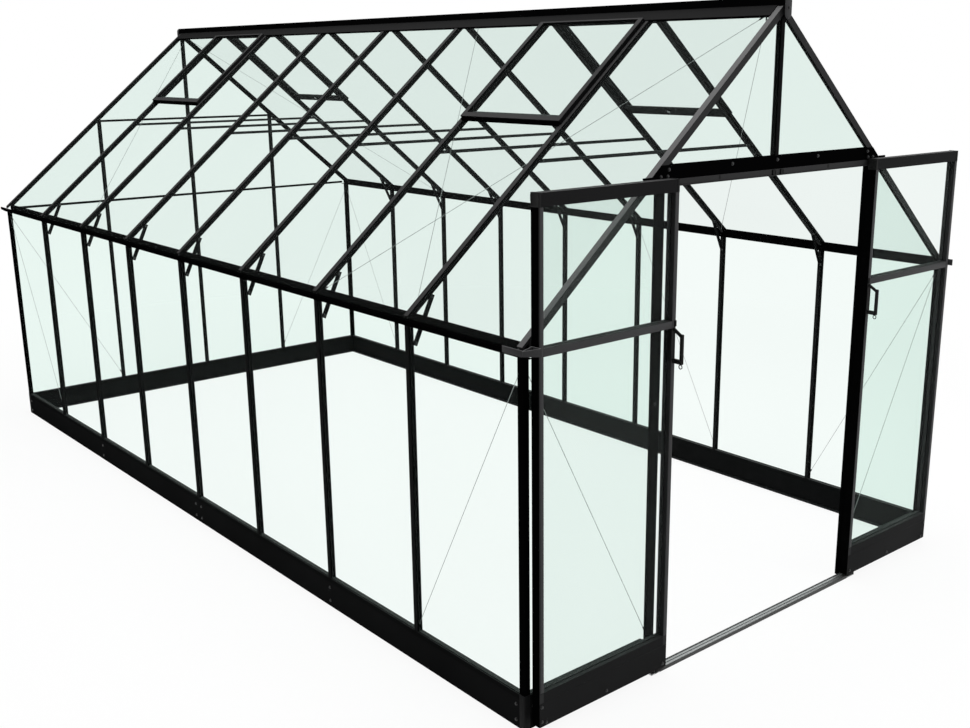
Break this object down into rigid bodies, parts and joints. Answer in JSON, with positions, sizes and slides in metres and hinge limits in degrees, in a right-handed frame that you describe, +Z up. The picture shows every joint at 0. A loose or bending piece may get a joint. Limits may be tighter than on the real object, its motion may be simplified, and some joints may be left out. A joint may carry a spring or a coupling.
{
  "type": "glass greenhouse",
  "caption": "Gabled walk-in greenhouse: black glazing-bar frame on a low plinth, clear panes, gutters, roof vents, wire bracing and a pair of hung sliding doors, shown open.",
  "frame": {"origin": "on the ground at the middle of the footprint, halfway between the long walls and between the gables", "axes": "+X to the right seen from in front of the doors, +Y from the door gable to the back gable, +Z up"},
  "size_m": [2.575, 5.1645, 2.4739],
  "materials": {
    "frame_black": "satin powder coat",
    "plinth_black": "satin powder coat on folded sheet",
    "clear_glass": "polished",
    "threshold_alloy": "mill finish",
    "handle_plastic": "fine matte",
    "roller_plastic": "matte",
    "wire_steel": "drawn wire"
  },
  "bodies": {
    "house": {"back_eave_rail": "frame_black", "back_gable_bars": "frame_black", "back_gable_glass": "clear_glass", "back_gable_tie": "frame_black", "back_plinth": "plinth_black", "back_rafters": "frame_black", "back_sill": "frame_black", "collar_ties": "frame_black", "corner_posts": "frame_black", "door_header": "frame_black", "door_posts": "frame_black", "door_track": "frame_black", "eave_struts": "frame_black", "front_plinths": "plinth_black", "front_rafters": "frame_black", "front_ridge_post": "frame_black", "front_side_glass": "clear_glass", "front_sills": "frame_black", "front_top_glass": "clear_glass", "left_gutter": "frame_black", "left_plinth": "plinth_black", "left_rafters": "frame_black", "left_roof_glass": "clear_glass", "left_sill": "frame_black", "left_vent_frames": "frame_black", "left_vent_glass": "clear_glass", "left_wall_bars": "frame_black", "left_wall_glass": "clear_glass", "ridge_bar": "frame_black", "right_gutter": "frame_black", "right_plinth": "plinth_black", "right_rafters": "frame_black", "right_roof_glass": "clear_glass", "right_sill": "frame_black", "right_vent_frames": "frame_black", "right_vent_glass": "clear_glass", "right_wall_bars": "frame_black", "right_wall_glass": "clear_glass", "roof_wires": "wire_steel", "threshold_rail": "threshold_alloy", "vent_sills": "frame_black", "wall_wires": "wire_steel"},
    "left_door": {"left_door_glass": "clear_glass", "left_door_handle": "handle_plastic", "left_door_kick_plate": "frame_black", "left_door_rails": "frame_black", "left_door_rollers": "roller_plastic", "left_door_stiles": "frame_black"},
    "right_door": {"right_door_glass": "clear_glass", "right_door_handle": "handle_plastic", "right_door_kick_plate": "frame_black", "right_door_rails": "frame_black", "right_door_rollers": "roller_plastic", "right_door_stiles": "frame_black"}
  },
  "joints": [
    {"name": "left_door_slide", "type": "slide", "parent": "house", "child": "left_door", "axis": [1, 0, 0], "range_m": [0, 0.594]},
    {"name": "right_door_slide", "type": "slide", "parent": "house", "child": "right_door", "axis": [-1, 0, 0], "range_m": [0, 0.594]}
  ]
}
